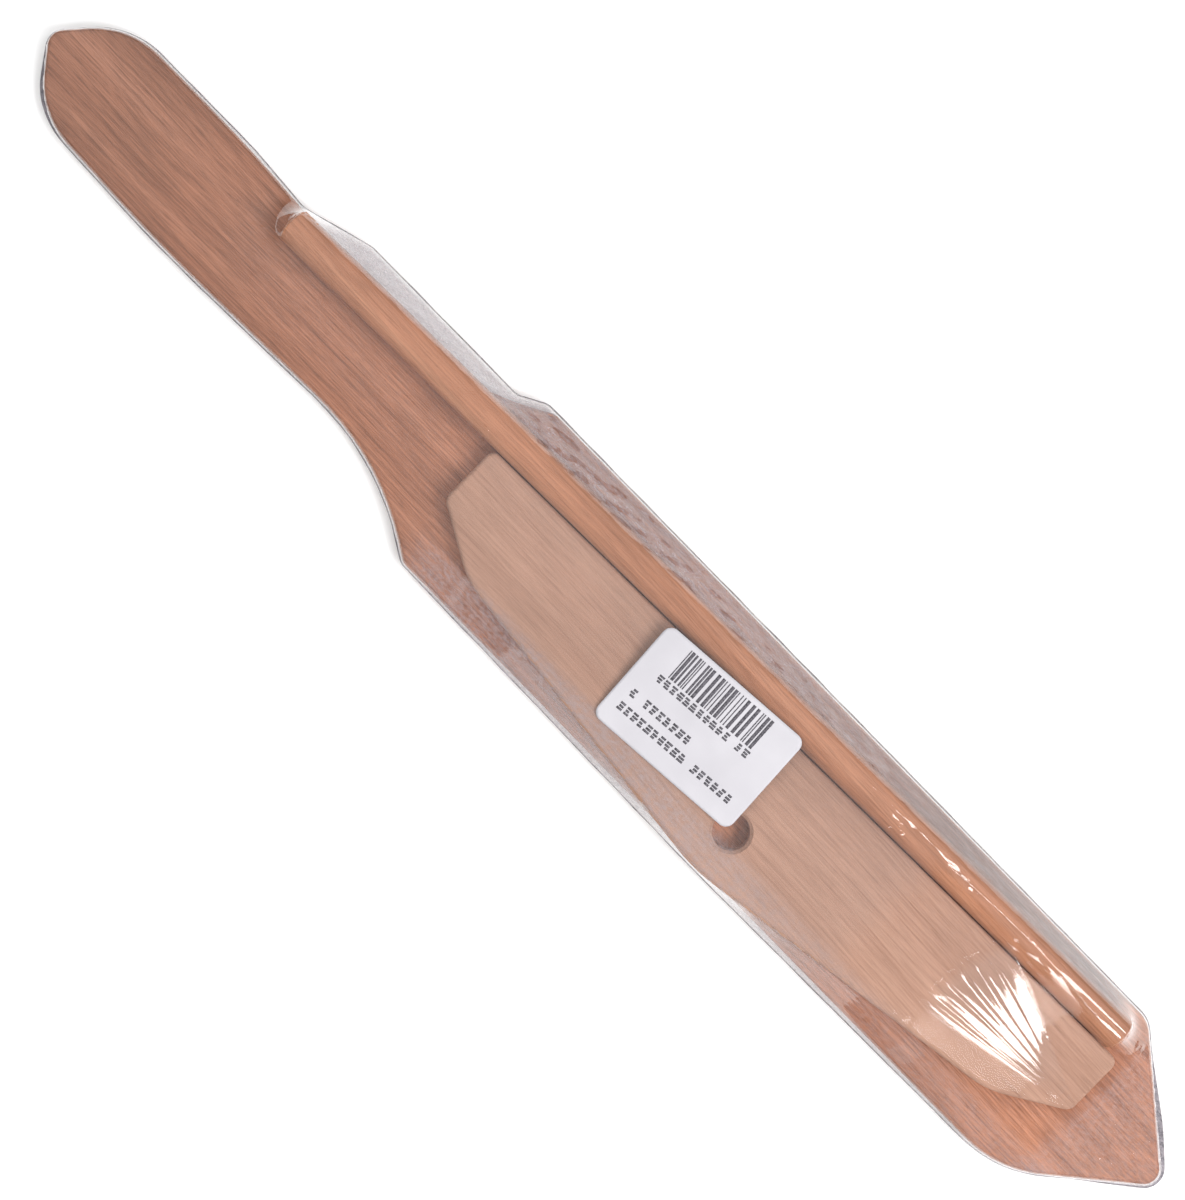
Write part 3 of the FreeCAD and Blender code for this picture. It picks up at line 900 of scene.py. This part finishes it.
def make_top_sheet(outline, material):
    """The top sheet of the wrap, stretched over the wood and welded along its outline."""
    grid = stretched(outline)
    ring = resampled(outline, RING_STEP)
    out = outward(ring)
    rings = [fringe_of(ring, out), ring] + [ring - out * depth for depth in RING_DEPTHS]
    inner = sheet_points(rings)
    plan, faces, _ = triangles(np.vstack([*rings, inner]), len(ring))
    depth = depth_inside(plan, ring)
    wood = wood_height(plan)
    heights = np.maximum(sampled(grid, plan), wood + FILM_OFF_WOOD)
    heights[depth < 0.1 * MM] = SEAM_Z
    free = smooth_step(depth, 0.9 * MM, 2.4 * MM)
    wrinkles = fan_pleats(plan) + tip_ripples(plan, depth) + handle_ripples(plan)
    wrinkles += band_crumple(plan, depth) + sparkles(plan) + crease_height(plan)
    heights += free * wrinkles
    heights = np.where(depth > 0.3 * MM, np.maximum(heights, wood + 0.4 * FILM_OFF_WOOD), heights)
    gap = smooth_step(heights - wood - FILM_OFF_WOOD, 0.2 * MM, 3.5 * MM)
    shown = top_sheet_looks(plan, depth, gap)
    sheet = film_mesh("film_top_sheet", plan, heights, faces, material, *shown)
    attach(sheet, "top_sheet")
    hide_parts("film_top")
    return grid


def make_bottom_sheet(outline, material):
    """The bottom sheet: flat under the wood, and up its sides to the weld."""
    ring = resampled(outline, RING_STEP)
    out = outward(ring)
    steps = [
        (fringe_of(ring, out), SEAM_Z - 0.03 * MM),
        (ring, SEAM_Z - 0.03 * MM),
        (ring - out * 0.12 * MM, SEAM_Z - 0.5 * MM),
        (ring - out * 0.2 * MM, SEAM_Z - 1.4 * MM),
        (ring - out * 0.5 * MM, 0.35 * MM),
        (ring - out * 1.0 * MM, 0.09 * MM),
        (ring - out * 1.7 * MM, 0.03 * MM),
        (ring - out * 3.0 * MM, 0.02 * MM),
    ]
    levels = np.concatenate([np.full(len(p), z) for p, z in steps])
    plan, faces, origins = triangles(np.vstack([p for p, _ in steps]), len(ring))
    depth = depth_inside(plan, ring)
    fringe = weld_share(depth)
    milky_veil = 0.015 + 0.2 * fringe
    ripple = np.full(len(plan), 0.2)
    clean = np.ones(len(plan))
    sheet = film_mesh(
        "film_bottom_sheet", plan, levels[origins], faces, material, milky_veil, ripple, fringe, clean
    )
    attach(sheet, "spatula_in_backing")
    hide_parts("film_bottom")


# ---- the label ----
LABEL_LENGTH, LABEL_WIDTH = 39.5 * MM, 26.2 * MM
LABEL_CORNER = 2.2 * MM
LABEL_TILT = math.radians(4.6)
LABEL_LIFT = 0.10 * MM         # its upper face above the film
LABEL_THICKNESS = 0.09 * MM
LABEL_STEP = 0.6 * MM          # of its mesh
PRINT_LIFT = 0.035 * MM
PRINT_STEP = 0.7 * MM          # along and across the printed marks, so that they bend with the label

# Where the print lies on the label, in mm from its centre: start, end, bottom and top.
BAR_BLOCK = (-12.3, 12.8, 3.9, 11.8)
NUMBER_ROW = (-14.1, 13.4, 1.4, 3.4)
TEXT_ROWS = [(-16.6, 1.4, -4.9, -2.7), (-16.8, 17.3, -8.8, -6.6)]
NUMBER_PITCH = 1.9
TEXT_PITCH = 1.95


def on_label(u, v, grid, lift):
    """Points of the label, from its centre, laid this far above the film."""
    centre = (label_low + label_high) / 2
    u, v = np.asarray(u), np.asarray(v)
    x = centre.x + u * math.cos(LABEL_TILT) - v * math.sin(LABEL_TILT)
    y = centre.y + u * math.sin(LABEL_TILT) + v * math.cos(LABEL_TILT)
    z = sampled(grid, np.column_stack([x, y])) + lift
    return np.column_stack([x, y, z])


def thicken(thing, thickness):
    """Gives a surface a thickness below it."""
    modifier = thing.modifiers.new("thickness", "SOLIDIFY")
    modifier.thickness = thickness
    modifier.offset = -1.0


def bar_marks():
    """Upright bars of random widths, as a stand-in for a bar code."""
    local = np.random.default_rng(11)
    start, end, bottom, top = BAR_BLOCK
    marks = []
    u = start
    while u < end - 0.9:
        width = local.choice([0.26, 0.26, 0.5, 0.76])
        marks.append((u, u + width, bottom, top))
        u += width + local.choice([0.26, 0.3, 0.52, 0.78])
    return marks


def row_marks(row, pitch, seed):
    """A row of print that can't be read: cells filled with short level dashes."""
    local = np.random.default_rng(seed)
    start, end, bottom, top = row
    marks = []
    for u in np.arange(start, end - pitch, pitch):
        if local.random() < 0.07:
            continue
        for level in (0.08, 0.40, 0.74):
            low = bottom + (top - bottom) * level
            left = u + pitch * local.uniform(0.02, 0.25)
            right = u + pitch * local.uniform(0.62, 0.9)
            marks.append((left, right, low, low + (top - bottom) * 0.24))
    return marks


def make_print(grid, ink):
    """The label's print, a thin layer of ink on the paper."""
    marks = bar_marks() + row_marks(NUMBER_ROW, NUMBER_PITCH, seed=12)
    for seed, row in enumerate(TEXT_ROWS, 13):
        marks += row_marks(row, TEXT_PITCH, seed)
    points, faces = [], []
    for left, right, bottom, top in marks:
        columns = max(1, math.ceil((right - left) * MM / PRINT_STEP))
        rows = max(1, math.ceil((top - bottom) * MM / PRINT_STEP))
        first = len(points)
        for u in np.linspace(left, right, columns + 1):
            points += [(u * MM, v * MM) for v in np.linspace(bottom, top, rows + 1)]
        for i in range(columns):
            for j in range(rows):
                corner = first + i * (rows + 1) + j
                faces.append((corner, corner + rows + 1, corner + rows + 2, corner + 1))
    flat = np.array(points)
    placed = on_label(flat[:, 0], flat[:, 1], grid, LABEL_LIFT + PRINT_LIFT)
    ink_layer = make_mesh("label_print", placed, faces, ink)
    thicken(ink_layer, PRINT_LIFT)
    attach(ink_layer, "top_sheet")


def make_label(grid, paper):
    """The sticker with rounded corners."""
    half_u, half_v = LABEL_LENGTH / 2, LABEL_WIDTH / 2
    corner_turns = np.radians(np.arange(0, 91, 11.25))
    edge = []
    for quarter, (su, sv) in enumerate(((1, 1), (-1, 1), (-1, -1), (1, -1))):
        centre_u = su * (half_u - LABEL_CORNER)
        centre_v = sv * (half_v - LABEL_CORNER)
        for turn in corner_turns + quarter * math.pi / 2:
            u = centre_u + LABEL_CORNER * math.cos(turn)
            edge.append((u, centre_v + LABEL_CORNER * math.sin(turn)))
    edge = resampled(np.array(edge), LABEL_STEP)
    us = np.arange(-half_u, half_u, LABEL_STEP)
    vs = np.arange(-half_v, half_v, LABEL_STEP)
    gu, gv = np.meshgrid(us, vs, indexing="ij")
    field = np.column_stack([gu.ravel(), gv.ravel()])
    field = field[depth_inside(field, edge) > LABEL_STEP * 0.7]
    flat, faces, _ = triangles(np.vstack([edge, field]), len(edge))
    placed = on_label(flat[:, 0], flat[:, 1], grid, LABEL_LIFT)
    label = make_mesh("label_sticker", placed, faces, paper)
    thicken(label, LABEL_THICKNESS)
    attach(label, "top_sheet")
    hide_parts("price_label")


# ---- build ----
make_camera()
make_lights()
make_floor()

looks = {
    "spatula": wood(
        "spatula_wood_look",
        dark=(0.208, 0.079, 0.039),
        base=(0.293, 0.125, 0.069),
        light=(0.363, 0.168, 0.101),
        # painted_light_gradient paints the spatula lighter towards the blade, as painted light.
        turn=0.0, fibre=0.8, figure=1.9, roughness=0.62, seed=0.0, painted_light_gradient=0.42,
    ),
    "spreader_blade": wood(
        "blade_wood_look",
        dark=(0.333, 0.185, 0.127),
        base=(0.396, 0.230, 0.163),
        light=(0.445, 0.270, 0.194),
        turn=HANDLE_TILT, fibre=0.36, figure=1.3, roughness=0.58, seed=3.1,
    ),
    "spreader_handle": wood(
        "handle_wood_look",
        dark=(0.325, 0.130, 0.062),
        base=(0.436, 0.200, 0.112),
        light=(0.522, 0.270, 0.16),
        turn=HANDLE_TILT, fibre=0.5, figure=1.6, roughness=0.52, seed=5.7,
    ),
}
for node, material in looks.items():
    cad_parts[node].data.materials.clear()
    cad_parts[node].data.materials.append(material)

film = film_material()
film_outline = outline_of("film_bottom")
film_grid = make_top_sheet(film_outline, film)
make_bottom_sheet(film_outline, film)
make_label(film_grid, label_material())
make_print(film_grid, ink_material())
